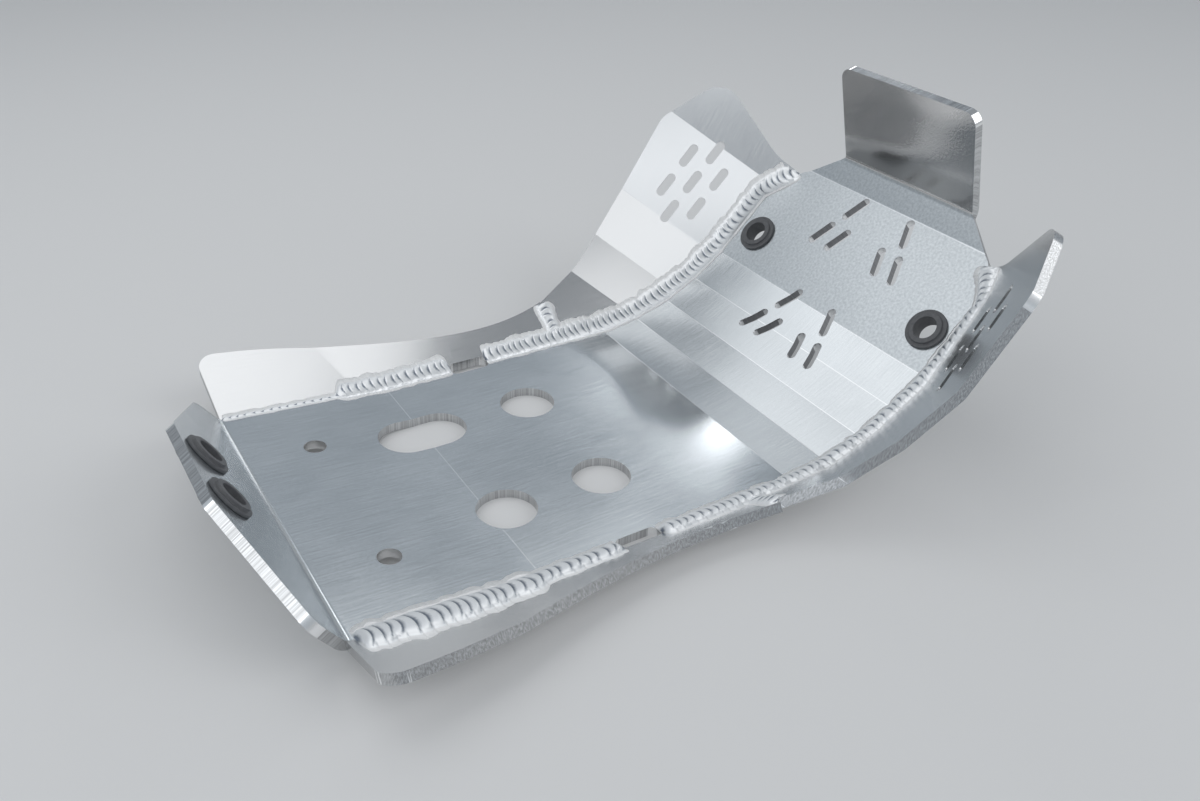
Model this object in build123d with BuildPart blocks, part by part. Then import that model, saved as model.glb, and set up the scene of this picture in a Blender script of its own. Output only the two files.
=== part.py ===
from build123d import *
import os
from math import cos, radians, sin, tan

# Skid plate for an off-road motorcycle: one folded aluminium sheet that runs under the
# engine, four folded side wings welded to its edges, and four rubber grommets.
# Millimetres and degrees. X points to the front of the motorcycle, Y to its left, Z up.
# The origin is the middle of the flat belly's underside, on which the part rests.

# Sheet
SHEET = 4.8
BEND_RADIUS = 5.0
HALF_WIDTH = 88.0

# Flats of the main plate, measured along its inner face between folds
FLANGE_FLAT = 51.0
REAR_FLAT = 87.5
BELLY_FLAT = 139.0
STEP_FLAT = 23.0
STEP_COUNT = 4
CHIN_FLAT = 70.5
STRIP_FLAT = 15.5
TAB_FLAT = 57.0

# Folds of the main plate
FLANGE_FOLD = 51.0
REAR_FOLD = 4.2
STEP_FOLD = 9.0
STRIP_FOLD = 14.0
TAB_FOLD = 46.6

# Rear flange outline
FLANGE_SHOULDER = 18.0
FLANGE_TOP_HALF = 31.0
SHOULDER_RADIUS = 10.0
FLANGE_TOP_RADIUS = 6.0

# Neck and tab outline, distances from the chin's lower fold
NECK_START = 45.0
NECK_KNEE = 66.0
NECK_KNEE_HALF = 73.0
TAB_HALF = 48.0
TAB_CORNER_RADIUS = 7.0

# Holes in the floor
SMALL_HOLE_RADIUS = 5.5
SMALL_HOLE_FROM_REAR = 34.5
SMALL_HOLE_HALF_GAP = 47.0
BIG_HOLE_RADIUS = 14.5
FRONT_HOLES_FROM_FOLD = 60.6
FRONT_HOLES_HALF_GAP = 37.5
SIDE_HOLE_FROM_FOLD = 8.5
SIDE_HOLE_OFFSET = 38.0
LONG_HOLE_STRETCH = 17.2
LONG_HOLE_OFFSET = 37.5

# Notches in the edges between the rear and the front weld beads
NOTCH_FROM_FOLD = 39.0
NOTCH_LENGTH = 22.0
NOTCH_INTO_PLATE = 6.0
NOTCH_INTO_WING = 2.5
NOTCH_RADIUS = 3.0

# Vent slots in the chin, in two groups of six
VENT_WIDTH = 5.2
VENT_STRETCH = 13.0
VENT_SLANT = 22.5
VENT_ROW_STEP = 20.8
LOWER_VENTS_FROM_CHIN = -23.5
UPPER_VENTS_FROM_CHIN = 40.7
LOWER_VENT_OFFSETS = (12.2, 25.4)
LOWER_TIP_OFFSET = 16.3
UPPER_VENT_OFFSETS = (16.3, 29.3)
UPPER_TIP_OFFSET = 20.0

# Rubber grommets
GROMMET_BORE = 6.2
GROMMET_NECK = 8.6
GROMMET_RIM = 11.2
GROMMET_STEP = 9.0
RIM_HEIGHT = 1.6
STEP_HEIGHT = 3.0
BACK_HEIGHT = 2.0
FRONT_GROMMET_FROM_CHIN = 21.4
FRONT_GROMMET_FROM_EDGE = 19.0
REAR_GROMMET_FROM_FOLD = 36.0
REAR_GROMMET_HALF_GAP = 17.5

# Rear wings
REAR_WING_LEAN = 23.0
REAR_WING_FRONT_LEAN = 33.0
REAR_WING_CREASE = 15.0
REAR_WING_CREASE_SKEW = 20.0
REAR_WING_REACH = 60.0
REAR_WING_TRIM_LEAN = 28.0
REAR_WING_TIP = 46.5
REAR_WING_STATIONS = (0.085, 0.2, 0.405, 0.6, 0.765)
REAR_WING_HEIGHTS = (44.6, 41.0, 31.3, 23.6, 20.7)
REAR_WING_JOINT = 27.5
REAR_WING_CORNER_RADIUS = 9.0
WING_JOINT_FROM_FOLD = 29.5

# Front wings, folded along one direction that leans out, up and back
FRONT_WING_SWEEP = 38.7
FRONT_WING_RISE = 28.0
FOOT_STATIONS = (23.0, 54.5, 88.5)
CHEEK_ANGLE = 51.0
CHEEK_FLAT = 55.5
NOSE_ANGLE = 62.0
NOSE_FLAT = 45.0
WING_TOP_START = (100.0, 70.0)
WING_TOP_DIP = (55.0, 64.3)
WING_TOP_RADIUS = 60.0
WING_SHOULDER = (50.0, 74.3)
WING_SHOULDER_RADIUS = 16.0
WING_NOSE = (89.5, 55.7)
WING_NOSE_RADIUS = 15.0
WING_HEEL = (70.6, 3.0)
WING_HEEL_RADIUS = 40.0
WING_HEEL_DROP = -30.0
WING_ABOVE = 120.0
WING_BELOW = 40.0
WING_FOOT_SPARE = 60.0
FRONT_BEAD_LEANS = (36.4, 45.0)

# Vent slots in the front wings, one in the middle and six around it
WING_VENT_WIDTH = 5.4
WING_VENT_STRETCH = 10.4
WING_VENT_TURN = -3.0
WING_VENT_STEP = 11.2
WING_VENT_SIDE_STEP = 11.9
WING_VENT_CENTRE = (28.3, 36.1)

# Weld beads: how far they reach over the plate and the wing, their swell and their ripples
BEAD_OVER_PLATE = 2.8
BEAD_OVER_WING = 6.5
BEAD_SWELL = 1.5
BEAD_SINK = 1.5
BEAD_RIPPLE = 4.7
BEAD_DIP = 0.84
SEAM_SCALE = 0.7
SEAM_SWELL = 0.6
SEAM_START = 1.0
SEAM_END = 62.0
WIDE_BEAD_START = 4.0
WIDE_BEAD_END = 61.0
SMOOTH_START = 63.0
SMOOTH_END = 86.0
SMOOTH_OVER_WING = 12.0
WIDE_BEAD_OVER_PLATE = 4.0
WIDE_BEAD_OVER_WING = 22.0
WIDE_BEAD_SWELL = 2.2
CROSS_BEAD_HALF = 4.5
CROSS_BEAD_START = 3.0
CROSS_BEAD_END = 26.0


def step_along(corner, angle, length):
    """Point reached from an (x, z) corner by going length at an angle above +X."""
    return (corner[0] + length * cos(radians(angle)), corner[1] + length * sin(radians(angle)))


def flat_plane(corner, angle):
    """Plane of a flat: local x runs forward along it, local y to the left, z off its inner face."""
    run = (cos(radians(angle)), 0, sin(radians(angle)))
    normal = (-sin(radians(angle)), 0, cos(radians(angle)))
    return Plane(origin=(corner[0], 0, corner[1]), x_dir=run, z_dir=normal)


def both_sides(ahead, aside):
    """The same place left and right of the middle of a flat."""
    return [(ahead, aside), (ahead, -aside)]


# Corners of the inner face in the XZ plane, from the flange's tip to the tab's tip
belly_rear = (-BELLY_FLAT / 2, SHEET)
belly_front = (BELLY_FLAT / 2, SHEET)
rear_corner = step_along(belly_rear, 180 - REAR_FOLD, REAR_FLAT)
flange_angle = REAR_FOLD + FLANGE_FOLD
flange_tip = step_along(rear_corner, 180 - flange_angle, FLANGE_FLAT)
front_corners = [belly_front]
for step in range(1, STEP_COUNT + 1):
    front_corners.append(step_along(front_corners[-1], step * STEP_FOLD, STEP_FLAT))
chin_corner = front_corners[-1]
chin_angle = (STEP_COUNT + 1) * STEP_FOLD
strip_corner = step_along(chin_corner, chin_angle, CHIN_FLAT)
tab_corner = step_along(strip_corner, chin_angle + STRIP_FOLD, STRIP_FLAT)
tab_angle = chin_angle + STRIP_FOLD + TAB_FOLD
tab_tip = step_along(tab_corner, tab_angle, TAB_FLAT)
inner_corners = [flange_tip, rear_corner, belly_rear, *front_corners, strip_corner, tab_corner, tab_tip]

grommet_half_gap = HALF_WIDTH - FRONT_GROMMET_FROM_EDGE

rear_plane = flat_plane(rear_corner, -REAR_FOLD)
belly_plane = flat_plane(belly_rear, 0)
chin_plane = flat_plane(chin_corner, chin_angle)
tab_plane = flat_plane(tab_corner, tab_angle)
flange_plane = flat_plane(rear_corner, -flange_angle)


def on_front(distance):
    """(x, z) on the inner face at a distance forward of the belly's front fold."""
    if distance <= 0:
        return step_along(belly_front, 0, distance)
    flat = min(int(distance // STEP_FLAT), STEP_COUNT)
    return step_along(front_corners[flat], (flat + 1) * STEP_FOLD, distance - flat * STEP_FLAT)


chin_start = STEP_COUNT * STEP_FLAT

# Half of the plate's plan, seen square to the chin: straight edge, neck and tab side
neck_end = CHIN_FLAT + STRIP_FLAT * cos(radians(STRIP_FOLD))
tab_reach = neck_end + TAB_FLAT
plan_back = -(chin_start + BELLY_FLAT)
neck_points = [(NECK_START, HALF_WIDTH), (NECK_KNEE, NECK_KNEE_HALF), (neck_end, TAB_HALF)]

# Tool that cuts the edge notches out of the plate and the feet of the rear wings
with BuildPart() as notches:
    with BuildSketch(belly_plane.offset(-2 * SHEET)):
        with Locations((NOTCH_FROM_FOLD + NOTCH_LENGTH / 2, 0)):
            Rectangle(NOTCH_LENGTH, 2 * (HALF_WIDTH + NOTCH_INTO_WING))
            Rectangle(NOTCH_LENGTH, 2 * (HALF_WIDTH - NOTCH_INTO_PLATE), mode=Mode.SUBTRACT)
        fillet(vertices(), NOTCH_RADIUS)
    extrude(amount=4 * SHEET)

# Main plate
with BuildPart() as main_plate:
    with BuildSketch(Plane.XZ):
        with BuildLine():
            FilletPolyline(*inner_corners, radius=BEND_RADIUS)
            offset(amount=SHEET, side=Side.RIGHT)
        make_face()
    extrude(amount=HALF_WIDTH, both=True)
    # Neck and tab sides
    with BuildSketch(chin_plane.offset(-2 * SHEET)):
        with BuildLine():
            Polyline(*neck_points, (tab_reach, TAB_HALF), (tab_reach, 2 * HALF_WIDTH),
                     (NECK_START, 2 * HALF_WIDTH), close=True)
        make_face()
        mirror(about=Plane.XZ)
    extrude(amount=TAB_FLAT + 4 * SHEET, mode=Mode.SUBTRACT)
    # Sloping sides of the flange
    with BuildSketch(flange_plane.offset(-2 * SHEET)):
        with BuildLine():
            Polyline((-FLANGE_SHOULDER, HALF_WIDTH), (-FLANGE_FLAT, FLANGE_TOP_HALF),
                     (-FLANGE_FLAT - SHEET, FLANGE_TOP_HALF), (-FLANGE_FLAT - SHEET, 2 * HALF_WIDTH),
                     (-FLANGE_SHOULDER, 2 * HALF_WIDTH), close=True)
        make_face()
        mirror(about=Plane.XZ)
    extrude(amount=4 * SHEET, mode=Mode.SUBTRACT)
    # Rounded corners of the flange and the tab
    flange_edges = main_plate.edges().filter_by(Axis((0, 0, 0), flange_plane.z_dir))
    tip_edges = flange_edges.sort_by(Axis((0, 0, 0), -flange_plane.x_dir))[-2:]
    shoulder_edges = flange_edges.group_by(Axis.Y)[0] + flange_edges.group_by(Axis.Y)[-1]
    fillet(tip_edges, FLANGE_TOP_RADIUS)
    fillet(shoulder_edges, SHOULDER_RADIUS)
    tab_edges = main_plate.edges().filter_by(Axis((0, 0, 0), tab_plane.z_dir))
    fillet(tab_edges.sort_by(Axis((0, 0, 0), tab_plane.x_dir))[-2:], TAB_CORNER_RADIUS)
    # Small bolt holes in the rear flat
    with BuildSketch(rear_plane):
        with Locations(*both_sides(SMALL_HOLE_FROM_REAR, SMALL_HOLE_HALF_GAP)):
            Circle(SMALL_HOLE_RADIUS)
    extrude(amount=-2 * SHEET, mode=Mode.SUBTRACT)
    # Large holes and the long hole in the belly, the long one across the fold
    with BuildSketch(belly_plane):
        with Locations(*both_sides(FRONT_HOLES_FROM_FOLD, FRONT_HOLES_HALF_GAP),
                       (SIDE_HOLE_FROM_FOLD, -SIDE_HOLE_OFFSET)):
            Circle(BIG_HOLE_RADIUS)
        with Locations((0, LONG_HOLE_OFFSET)):
            SlotCenterToCenter(LONG_HOLE_STRETCH, 2 * BIG_HOLE_RADIUS)
    extrude(amount=2 * SHEET, both=True, mode=Mode.SUBTRACT)
    add(notches.part, mode=Mode.SUBTRACT)
    # Vent slots, each cut square to the plate at its own place
    vent_rows = [
        (LOWER_VENTS_FROM_CHIN, LOWER_VENT_OFFSETS),
        (LOWER_VENTS_FROM_CHIN + VENT_ROW_STEP, (LOWER_TIP_OFFSET,)),
        (UPPER_VENTS_FROM_CHIN, UPPER_VENT_OFFSETS),
        (UPPER_VENTS_FROM_CHIN + VENT_ROW_STEP, (UPPER_TIP_OFFSET,)),
    ]
    for row, offsets in vent_rows:
        back = Vector(*on_front(chin_start + row - VENT_STRETCH / 2))
        ahead = Vector(*on_front(chin_start + row + VENT_STRETCH / 2))
        middle = (back + ahead) / 2
        slope = (ahead - back).get_signed_angle(Vector(1, 0), Vector(0, 0, -1))
        with BuildSketch(flat_plane((middle.X, middle.Y), slope)):
            for side in (1, -1):
                with Locations(*[(0, side * reach) for reach in offsets]):
                    SlotCenterToCenter(VENT_STRETCH, VENT_WIDTH, rotation=-side * VENT_SLANT)
        extrude(amount=2 * SHEET, both=True, mode=Mode.SUBTRACT)
    # Seats of the grommets
    with BuildSketch(chin_plane):
        with Locations(*both_sides(FRONT_GROMMET_FROM_CHIN, grommet_half_gap)):
            Circle(GROMMET_NECK)
    extrude(amount=2 * SHEET, both=True, mode=Mode.SUBTRACT)
    with BuildSketch(flange_plane):
        with Locations(*both_sides(-REAR_GROMMET_FROM_FOLD, REAR_GROMMET_HALF_GAP)):
            Circle(GROMMET_NECK)
    extrude(amount=2 * SHEET, both=True, mode=Mode.SUBTRACT)


# Rear wing
def wing_section(plane, lean):
    """Section of a rear wing: it starts at the plate's edge and leans outward."""
    with BuildSketch(plane) as section:
        with BuildLine():
            foot_drop = SHEET / cos(radians(lean))
            top = (REAR_WING_REACH * cos(radians(lean)), REAR_WING_REACH * sin(radians(lean)))
            top_back = (top[0] + SHEET * sin(radians(lean)), top[1] - SHEET * cos(radians(lean)))
            Polyline((0, 0), top, top_back, (0, -foot_drop), close=True)
        make_face()
    return section.sketch


rear_edge_plane = Plane(origin=rear_plane.from_local_coords((0, HALF_WIDTH, 0)), x_dir=(0, 1, 0),
                        z_dir=rear_plane.x_dir)
crease_foot = rear_plane.from_local_coords((REAR_FLAT - REAR_WING_CREASE, HALF_WIDTH, 0))
crease_run = Vector(1, 0, 0).rotate(Axis.Z, REAR_WING_CREASE_SKEW)
crease_plane = Plane(origin=crease_foot, x_dir=Vector(0, 1, 0).rotate(Axis.Z, REAR_WING_CREASE_SKEW),
                     z_dir=crease_run)
wing_joint = belly_front[0] - WING_JOINT_FROM_FOLD
joint_plane = Plane(origin=(wing_joint, HALF_WIDTH, SHEET), x_dir=(0, 1, 0), z_dir=(1, 0, 0))
rear_trim_plane = Plane(origin=(0, HALF_WIDTH, SHEET), x_dir=(1, 0, 0),
                        z_dir=(0, -sin(radians(REAR_WING_TRIM_LEAN)), cos(radians(REAR_WING_TRIM_LEAN))))
rear_end = rear_corner[0]
rear_wing_top = [(rear_end + station * (wing_joint - rear_end), height)
                 for station, height in zip(REAR_WING_STATIONS, REAR_WING_HEIGHTS)]

with BuildPart() as left_rear_wing:
    loft([wing_section(rear_edge_plane.offset(-SHEET), REAR_WING_LEAN),
          wing_section(crease_plane, REAR_WING_LEAN),
          wing_section(joint_plane, REAR_WING_FRONT_LEAN)], ruled=True)
    # Trim to the waved top edge
    with BuildSketch(rear_trim_plane.offset(-REAR_WING_REACH)) as rear_trim:
        with BuildLine():
            Spline(*rear_wing_top, (wing_joint, REAR_WING_JOINT))
            Polyline((wing_joint, REAR_WING_JOINT), (wing_joint, -REAR_WING_REACH),
                     (rear_end, -REAR_WING_REACH))
            FilletPolyline((rear_end, -REAR_WING_REACH), (rear_end, REAR_WING_TIP), rear_wing_top[0],
                           radius=REAR_WING_CORNER_RADIUS)
        make_face()
    extrude(amount=2 * REAR_WING_REACH, mode=Mode.INTERSECT)
    # Foot flush with the underside, and the edge notch
    split(bisect_by=Plane.XY, keep=Keep.TOP)
    add(notches.part, mode=Mode.SUBTRACT)


# Front wing
wing_run = Vector(0, cos(radians(FRONT_WING_RISE)), sin(radians(FRONT_WING_RISE)))
wing_run = wing_run.rotate(Axis.Z, FRONT_WING_SWEEP)
wing_corners = [on_front(-WING_JOINT_FROM_FOLD), *[on_front(station) for station in FOOT_STATIONS]]
cheek_foot = wing_corners[-1]
wing_corners.append(step_along(cheek_foot, CHEEK_ANGLE, CHEEK_FLAT))
wing_corners.append(step_along(wing_corners[-1], NOSE_ANGLE, NOSE_FLAT))
cheek_origin = Vector(cheek_foot[0], HALF_WIDTH, cheek_foot[1])
cheek_rise = Vector(cos(radians(CHEEK_ANGLE)), 0, sin(radians(CHEEK_ANGLE)))
cheek_inward = cheek_rise.cross(wing_run).normalized()
cheek_along = wing_run.cross(cheek_inward)
wing_section_plane = Plane(origin=cheek_origin, x_dir=cheek_along, z_dir=wing_run)
cheek_plane = Plane(origin=cheek_origin, x_dir=cheek_along, z_dir=cheek_inward)
foot_points = [wing_section_plane.to_local_coords(Vector(x, HALF_WIDTH, z)) for x, z in wing_corners]
spare = (foot_points[0] - foot_points[1]).normalized() * WING_FOOT_SPARE
section_points = [(point.X, point.Y) for point in [foot_points[0] + spare, *foot_points[1:]]]

with BuildPart() as left_front_wing:
    with BuildSketch(wing_section_plane.offset(-WING_BELOW)):
        with BuildLine():
            FilletPolyline(*section_points, radius=BEND_RADIUS)
            offset(amount=SHEET, side=Side.LEFT)
        make_face()
    extrude(amount=WING_BELOW + WING_ABOVE)
    # Keep clear of the plate: straight edge, then the neck
    with BuildSketch(chin_plane):
        with BuildLine():
            Polyline((plan_back, 0), (plan_back, HALF_WIDTH), *neck_points, (tab_reach, TAB_HALF),
                     (tab_reach, 0), close=True)
        make_face()
    extrude(amount=2 * WING_ABOVE, both=True, mode=Mode.SUBTRACT)
    # Trim to the outline of the free edge
    with BuildSketch(cheek_plane):
        with BuildLine():
            FilletPolyline((-WING_ABOVE, WING_HEEL_DROP), (-WING_TOP_START[0], WING_TOP_START[1]),
                           (-WING_TOP_DIP[0], WING_TOP_DIP[1]), WING_SHOULDER, WING_NOSE, WING_HEEL,
                           (WING_HEEL[0] - 1, WING_HEEL_DROP),
                           radius=[WING_SHOULDER_RADIUS, WING_TOP_RADIUS, WING_SHOULDER_RADIUS,
                                   WING_NOSE_RADIUS, WING_HEEL_RADIUS])
            Line((WING_HEEL[0] - 1, WING_HEEL_DROP), (-WING_ABOVE, WING_HEEL_DROP))
        make_face()
    extrude(amount=WING_ABOVE, both=True, mode=Mode.INTERSECT)
    # Square end at the joint with the rear wing
    split(bisect_by=joint_plane, keep=Keep.TOP)
    split(bisect_by=Plane.XY, keep=Keep.TOP)
    # Vent slots
    vent_place = Location((*WING_VENT_CENTRE, 0), (0, 0, WING_VENT_TURN))
    with BuildSketch(Plane(Location(cheek_plane) * vent_place)):
        with Locations((0, 0), (2 * WING_VENT_STEP, 0), (-2 * WING_VENT_STEP, 0)):
            SlotCenterToCenter(WING_VENT_STRETCH, WING_VENT_WIDTH)
        with GridLocations(2 * WING_VENT_STEP, 2 * WING_VENT_SIDE_STEP, 2, 2):
            SlotCenterToCenter(WING_VENT_STRETCH, WING_VENT_WIDTH)
    extrude(amount=3 * SHEET, both=True, mode=Mode.SUBTRACT)

with BuildPart() as right_front_wing:
    mirror(left_front_wing.part, about=Plane.XZ)

with BuildPart() as right_rear_wing:
    mirror(left_rear_wing.part, about=Plane.XZ)


# Rubber grommets: stepped rings seated in the holes
def seat(plane, ahead, aside):
    """Plane of a grommet's seat, its origin at the middle of the hole on the sheet's inner face."""
    return Plane(origin=plane.from_local_coords((ahead, aside, 0)), x_dir=plane.x_dir, z_dir=plane.z_dir)


def grommet_section(place):
    """Half section of a grommet that stands on its seat: local x is the radius."""
    with BuildSketch(Plane(origin=place.origin, x_dir=place.x_dir, z_dir=-place.y_dir)) as section:
        with BuildLine():
            Polyline((GROMMET_BORE, -SHEET - BACK_HEIGHT), (GROMMET_RIM, -SHEET - BACK_HEIGHT),
                     (GROMMET_RIM, -SHEET), (GROMMET_NECK, -SHEET), (GROMMET_NECK, 0), (GROMMET_RIM, 0),
                     (GROMMET_RIM, RIM_HEIGHT), (GROMMET_STEP, RIM_HEIGHT), (GROMMET_STEP, STEP_HEIGHT),
                     (GROMMET_BORE, STEP_HEIGHT), close=True)
        make_face()
    return section.sketch


front_seat = seat(chin_plane, FRONT_GROMMET_FROM_CHIN, grommet_half_gap)
rear_seat = seat(flange_plane, -REAR_GROMMET_FROM_FOLD, REAR_GROMMET_HALF_GAP)

with BuildPart() as rubber_grommets:
    for place in (front_seat, rear_seat):
        revolve(grommet_section(place), axis=Axis(place.origin, place.z_dir))
    mirror(about=Plane.XZ)


# Weld beads
def bead_section(plane, lean, over_plate, over_wing, swell, size=1.0, lift=0.0):
    """Cross-section of a bead at a corner: local x points outward and local y off the plate."""
    toe_in = Vector(-over_plate, -BEAD_SINK / 3) * size
    toe_out = Vector(over_wing, -BEAD_SINK / 3).rotate(Axis.Z, lean) * size + Vector(0, lift)
    off = (toe_out - toe_in).rotate(Axis.Z, 90).normalized() * swell * size
    crown = [toe_in + (toe_out - toe_in) * share + off * 4 * share * (1 - share)
             for share in (0.25, 0.5, 0.75)]
    root = Vector(-BEAD_SINK / 2, -BEAD_SINK)
    with BuildSketch(plane) as section:
        with BuildLine():
            Polyline(toe_in, *crown, toe_out, root, close=True)
        make_face()
    return section.sketch


def ripples(start, end, pitch):
    """Distances and sizes of the sections that make a row of ripples, tapered at both ends."""
    count = round((end - start) / pitch)
    pitch = (end - start) / count
    rows = [(start, BEAD_DIP / 2)]
    for ripple in range(count):
        rows.append((start + (ripple + 0.2) * pitch, 1.0))
        rows.append((start + (ripple + 1.0) * pitch, BEAD_DIP))
    rows[-1] = (end, BEAD_DIP / 2)
    return rows


def front_frame(distance):
    """Corner of the plate's edge at a distance forward of the belly's front fold."""
    neck = distance - chin_start - NECK_START
    if neck > 0:
        start = Vector(NECK_START, HALF_WIDTH)
        run = (Vector(NECK_KNEE, NECK_KNEE_HALF) - start).normalized()
        origin = chin_plane.from_local_coords(start + run * neck)
        along = chin_plane.x_dir * run.X + chin_plane.y_dir * run.Y
        return Plane(origin=origin, x_dir=along.cross(chin_plane.z_dir) * -1, z_dir=along)
    back = on_front(distance - BEAD_RIPPLE)
    ahead = on_front(distance + BEAD_RIPPLE)
    here = on_front(distance)
    along = Vector(ahead[0] - back[0], 0, ahead[1] - back[1]).normalized()
    return Plane(origin=(here[0], HALF_WIDTH, here[1]), x_dir=(0, 1, 0), z_dir=along)


def front_lean(distance):
    """Angle of the wing above the plate at a distance forward of the belly's front fold."""
    if distance < -WING_JOINT_FROM_FOLD:
        return REAR_WING_FRONT_LEAN
    return FRONT_BEAD_LEANS[0] if distance < FOOT_STATIONS[0] else FRONT_BEAD_LEANS[1]


def rear_frame(distance):
    """Corner of the plate's edge at a distance forward of the rear fold."""
    if distance < REAR_FLAT:
        return Plane(origin=rear_plane.from_local_coords((distance, HALF_WIDTH, 0)), x_dir=(0, 1, 0),
                     z_dir=rear_plane.x_dir)
    return Plane(origin=belly_plane.from_local_coords((distance - REAR_FLAT, HALF_WIDTH, 0)),
                 x_dir=(0, 1, 0), z_dir=(1, 0, 0))


def cheek_lift(distance):
    """How far the wing's foot stands above the plate's face on the chin."""
    ahead = min(max(distance - FOOT_STATIONS[-1], 0), NECK_START)
    return ahead * sin(radians(CHEEK_ANGLE - chin_angle))


notch_back = REAR_FLAT + NOTCH_FROM_FOLD
notch_front = NOTCH_FROM_FOLD + NOTCH_LENGTH - BELLY_FLAT
neck_line = Vector(NECK_KNEE, NECK_KNEE_HALF) - Vector(NECK_START, HALF_WIDTH)
bead_end = chin_start + NECK_START + neck_line.length

with BuildPart() as long_bead:
    loft([bead_section(front_frame(place), front_lean(place), BEAD_OVER_PLATE, BEAD_OVER_WING, BEAD_SWELL,
                       size, cheek_lift(place))
          for place, size in ripples(notch_front, bead_end, BEAD_RIPPLE)], ruled=True)
    add(main_plate.part, mode=Mode.SUBTRACT)
    add(left_front_wing.part, mode=Mode.SUBTRACT)
    add(left_rear_wing.part, mode=Mode.SUBTRACT)

# Cross beads over the joints between the rear and the front wings
joint_lean = (REAR_WING_FRONT_LEAN + FRONT_BEAD_LEANS[0]) / 2
joint_run = Vector(0, cos(radians(joint_lean)), sin(radians(joint_lean)))


def joint_frame(distance):
    """Place on the joint between the wings at a distance up from their feet."""
    return Plane(origin=joint_plane.origin + joint_run * distance, x_dir=(-1, 0, 0), z_dir=joint_run)


with BuildPart() as cross_bead:
    loft([bead_section(joint_frame(place), 0, CROSS_BEAD_HALF, CROSS_BEAD_HALF, BEAD_SWELL, size)
          for place, size in ripples(CROSS_BEAD_START, CROSS_BEAD_END, BEAD_RIPPLE)], ruled=True)
    add(left_front_wing.part, mode=Mode.SUBTRACT)
    add(left_rear_wing.part, mode=Mode.SUBTRACT)

with BuildPart() as left_front_weld:
    add(long_bead.part)
    add(cross_bead.part)

with BuildPart() as right_front_weld:
    mirror(left_front_weld.part, about=Plane.XZ)

with BuildPart() as left_rear_weld:
    seam = [bead_section(rear_frame(place), REAR_WING_LEAN, BEAD_OVER_PLATE, BEAD_OVER_WING,
                         SEAM_SWELL, SEAM_SCALE)
            for place in (SEAM_START, SEAM_END)]
    beads = [bead_section(rear_frame(place), REAR_WING_LEAN, BEAD_OVER_PLATE, BEAD_OVER_WING,
                          BEAD_SWELL, size)
             for place, size in ripples(SEAM_END, notch_back, BEAD_RIPPLE)[1:]]
    loft(seam + beads, ruled=True)
    add(main_plate.part, mode=Mode.SUBTRACT)
    add(left_rear_wing.part, mode=Mode.SUBTRACT)

# The right rear bead is wider and coarser than the left one: drawn on the left, then mirrored
with BuildPart() as wide_weld:
    wide = [bead_section(rear_frame(place), REAR_WING_LEAN, WIDE_BEAD_OVER_PLATE, WIDE_BEAD_OVER_WING,
                         WIDE_BEAD_SWELL, size)
            for place, size in ripples(WIDE_BEAD_START, WIDE_BEAD_END, BEAD_RIPPLE)[:-1]]
    smooth = [bead_section(rear_frame(place), REAR_WING_LEAN, BEAD_OVER_PLATE, SMOOTH_OVER_WING, BEAD_SWELL)
              for place in (SMOOTH_START, SMOOTH_END)]
    slim = [bead_section(rear_frame(place), REAR_WING_LEAN, BEAD_OVER_PLATE, BEAD_OVER_WING, BEAD_SWELL, size)
            for place, size in ripples(SMOOTH_END, notch_back, BEAD_RIPPLE)[1:]]
    loft(wide + smooth + slim, ruled=True)
    add(main_plate.part, mode=Mode.SUBTRACT)
    add(left_rear_wing.part, mode=Mode.SUBTRACT)

with BuildPart() as right_rear_weld:
    mirror(wide_weld.part, about=Plane.XZ)

# The folded sheet is written as three solids that meet at its rear fold and its first front fold,
# so that the collision hulls of the flange, the floor and the curved front stay apart
rear_fold_angle = -REAR_FOLD - FLANGE_FOLD / 2
rear_fold_plane = Plane(origin=(rear_corner[0], 0, rear_corner[1]), x_dir=(0, 1, 0),
                        z_dir=(cos(radians(rear_fold_angle)), 0, sin(radians(rear_fold_angle))))
front_fold_plane = Plane(origin=(belly_front[0], 0, 0), x_dir=(0, 1, 0), z_dir=(1, 0, 0))

with BuildPart() as rear_flange:
    add(main_plate.part)
    split(bisect_by=rear_fold_plane, keep=Keep.BOTTOM)

with BuildPart() as floor_plate:
    add(main_plate.part)
    split(bisect_by=rear_fold_plane, keep=Keep.TOP)
    split(bisect_by=front_fold_plane, keep=Keep.BOTTOM)

with BuildPart() as front_plate:
    add(main_plate.part)
    split(bisect_by=front_fold_plane, keep=Keep.TOP)

os.makedirs("parts", exist_ok=True)
rear_flange.part.label = "rear_flange"
export_step(rear_flange.part, "parts/rear_flange.step")
floor_plate.part.label = "floor_plate"
export_step(floor_plate.part, "parts/floor_plate.step")
front_plate.part.label = "front_plate"
export_step(front_plate.part, "parts/front_plate.step")
left_rear_wing.part.label = "left_rear_wing"
export_step(left_rear_wing.part, "parts/left_rear_wing.step")
right_rear_wing.part.label = "right_rear_wing"
export_step(right_rear_wing.part, "parts/right_rear_wing.step")
left_front_wing.part.label = "left_front_wing"
export_step(left_front_wing.part, "parts/left_front_wing.step")
right_front_wing.part.label = "right_front_wing"
export_step(right_front_wing.part, "parts/right_front_wing.step")
left_front_weld.part.label = "left_front_weld"
export_step(left_front_weld.part, "parts/left_front_weld.step")
right_front_weld.part.label = "right_front_weld"
export_step(right_front_weld.part, "parts/right_front_weld.step")
left_rear_weld.part.label = "left_rear_weld"
export_step(left_rear_weld.part, "parts/left_rear_weld.step")
right_rear_weld.part.label = "right_rear_weld"
export_step(right_rear_weld.part, "parts/right_rear_weld.step")
rubber_grommets.part.label = "rubber_grommets"
export_step(rubber_grommets.part, "parts/rubber_grommets.step")
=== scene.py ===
import random
from math import cos, pi, radians, sin, sqrt

import bmesh
import bpy
from mathutils import Euler, Matrix, Vector
from mathutils.bvhtree import BVHTree


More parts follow.
